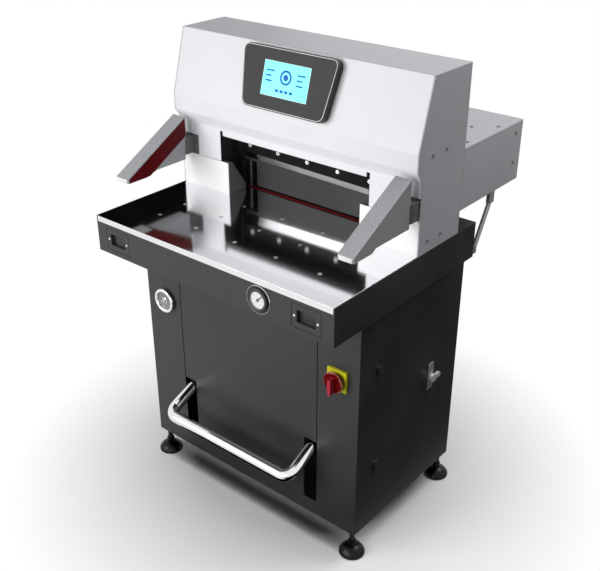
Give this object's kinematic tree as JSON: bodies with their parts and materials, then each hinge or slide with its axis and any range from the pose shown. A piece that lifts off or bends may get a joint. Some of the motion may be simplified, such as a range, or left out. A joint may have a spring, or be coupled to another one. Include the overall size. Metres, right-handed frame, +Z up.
{
  "type": "hydraulic paper guillotine",
  "caption": "Floor-standing hydraulic paper cutter with an air table, clamp, swinging knife, powered back gauge, light-barrier arms, touch screen, foot bar, lockable door and tool drawers.",
  "frame": {"origin": "on the floor, at the middle of the machine's width and of its depth from the gauge's front to the rear guard's back", "axes": "+X to the operator's right, +Y from the operator's side to the back, +Z up"},
  "size_m": [0.827, 0.846, 1.32],
  "materials": {
    "black_paint": "satin black powder coat",
    "light_grey_paint": "satin light grey powder coat",
    "grey_paint": "satin mid grey powder coat",
    "dark_grey_paint": "satin dark grey paint",
    "table_chrome": "polished hard chrome plate",
    "chrome": "bright chrome plate",
    "steel": "ground steel",
    "machined_iron": "machined cast iron",
    "aluminium": "cast and folded aluminium",
    "cabinet_grey": "light grey enamel",
    "foot_plastic": "moulded glossy black plastic",
    "stick_red": "moulded red plastic",
    "switch_yellow": "moulded yellow plastic",
    "switch_red": "moulded red plastic",
    "pointer_black": "matt black enamel",
    "display_black": "moulded black bezel with a dark grey face",
    "display_cyan": "lit touch screen",
    "window_red": "dark red infrared window"
  },
  "bodies": {
    "frame": {"air_blower": "aluminium", "air_manifold": "aluminium", "air_nozzles": "steel", "base_plate": "black_paint", "cabinet_shell": "black_paint", "clamp_cylinder": "machined_iron", "column_covers": "light_grey_paint", "control_box": "cabinet_grey", "crown_beam": "dark_grey_paint", "cutting_stick": "stick_red", "display_housing": "display_black", "display_screen": "display_cyan", "door_hinge_pins": "black_paint", "foot_pads": "foot_plastic", "foot_studs": "steel", "front_access_panel": "black_paint", "gauge_case": "chrome", "gauge_motor": "aluminium", "gauge_rails": "steel", "guard_struts": "steel", "head_back_panel": "grey_paint", "head_front_cover": "light_grey_paint", "head_top_cover": "grey_paint", "knife_cylinder": "machined_iron", "left_side_panel": "grey_paint", "light_arm_brackets": "dark_grey_paint", "light_arm_windows": "window_red", "light_arms": "grey_paint", "oil_tank": "dark_grey_paint", "panel_screws": "steel", "pedal_bearings": "black_paint", "pump_motor": "aluminium", "rear_guard": "grey_paint", "rear_table": "dark_grey_paint", "rear_vent_panel": "black_paint", "right_side_panel": "grey_paint", "side_frames": "dark_grey_paint", "side_guides": "dark_grey_paint", "switch_plate": "switch_yellow", "table_frame": "black_paint", "valve_block": "machined_iron", "work_table": "table_chrome"},
    "knife_ram": {"knife_rod": "steel"},
    "knife_beam": {"knife_carrier": "black_paint", "knife_blade": "steel", "knife_bolts": "steel"},
    "clamp": {"clamp_beam": "dark_grey_paint", "clamp_drawbars": "steel", "clamp_yoke": "dark_grey_paint"},
    "gauge_carriage": {"back_gauge": "machined_iron"},
    "gauge_screw": {"lead_screw": "steel"},
    "pedal": {"foot_bar": "chrome", "pedal_shaft": "steel"},
    "door": {"side_door": "black_paint"},
    "door_lever": {"door_handle": "chrome"},
    "left_tray": {"left_drawer": "black_paint"},
    "right_tray": {"right_drawer": "black_paint"},
    "main_switch": {"switch_knob": "switch_red"},
    "handwheel": {"pressure_handwheel": "chrome"},
    "pointer": {"gauge_pointer": "pointer_black"}
  },
  "joints": [
    {"name": "knife_stroke", "type": "slide", "parent": "frame", "child": "knife_ram", "axis": [-0.2079, 0, -0.9781], "range_m": [0, 0.08741]},
    {"name": "knife_swing", "type": "hinge", "parent": "knife_ram", "child": "knife_beam", "pos_m": [0.00909, -0.014, 1.12397], "axis": [0, -1, 0], "range_deg": [0, 1]},
    {"name": "clamp_slide", "type": "slide", "parent": "frame", "child": "clamp", "axis": [0, 0, 1], "range_m": [-0.0065, 0.0735]},
    {"name": "back_gauge_slide", "type": "slide", "parent": "frame", "child": "gauge_carriage", "axis": [0, 1, 0], "range_m": [-0.092, 0.187]},
    {"name": "lead_screw_spin", "type": "hinge", "parent": "frame", "child": "gauge_screw", "pos_m": [0, 0.185, 0.822], "axis": [0, 1, 0], "range_deg": [-13470, 6630]},
    {"name": "pedal_hinge", "type": "hinge", "parent": "frame", "child": "pedal", "pos_m": [0, -0.085, 0.392], "axis": [1, 0, 0], "range_deg": [0, 12], "stiffness_Nm_per_rad": 30, "springref_deg": -51.57},
    {"name": "door_hinge", "type": "hinge", "parent": "frame", "child": "door", "pos_m": [0.393, -0.1905, 0.4315], "axis": [0, 0, -1], "range_deg": [0, 110]},
    {"name": "door_handle_turn", "type": "hinge", "parent": "door", "child": "door_lever", "pos_m": [0.391, 0.07, 0.4315], "axis": [1, 0, 0], "range_deg": [0, 90]},
    {"name": "left_drawer_slide", "type": "slide", "parent": "frame", "child": "left_tray", "axis": [0, -1, 0], "range_m": [0, 0.15]},
    {"name": "right_drawer_slide", "type": "slide", "parent": "frame", "child": "right_tray", "axis": [0, -1, 0], "range_m": [0, 0.15]},
    {"name": "main_switch_turn", "type": "hinge", "parent": "frame", "child": "main_switch", "pos_m": [0.3215, -0.291, 0.573], "axis": [0, 1, 0], "range_deg": [0, 90]},
    {"name": "handwheel_turn", "type": "hinge", "parent": "frame", "child": "handwheel", "pos_m": [-0.314, -0.282, 0.58], "axis": [0, 1, 0], "range_deg": [-900, 900]},
    {"name": "gauge_pointer_turn", "type": "hinge", "parent": "frame", "child": "pointer", "pos_m": [0.183, -0.417, 0.814], "axis": [0, 1, 0], "range_deg": [-180, 90]}
  ],
  "couplings": [
    {"joint": "knife_swing", "follows": "knife_stroke", "rad_per_m": 0.19965},
    {"joint": "lead_screw_spin", "follows": "back_gauge_slide", "rad_per_m": -1256.6}
  ]
}
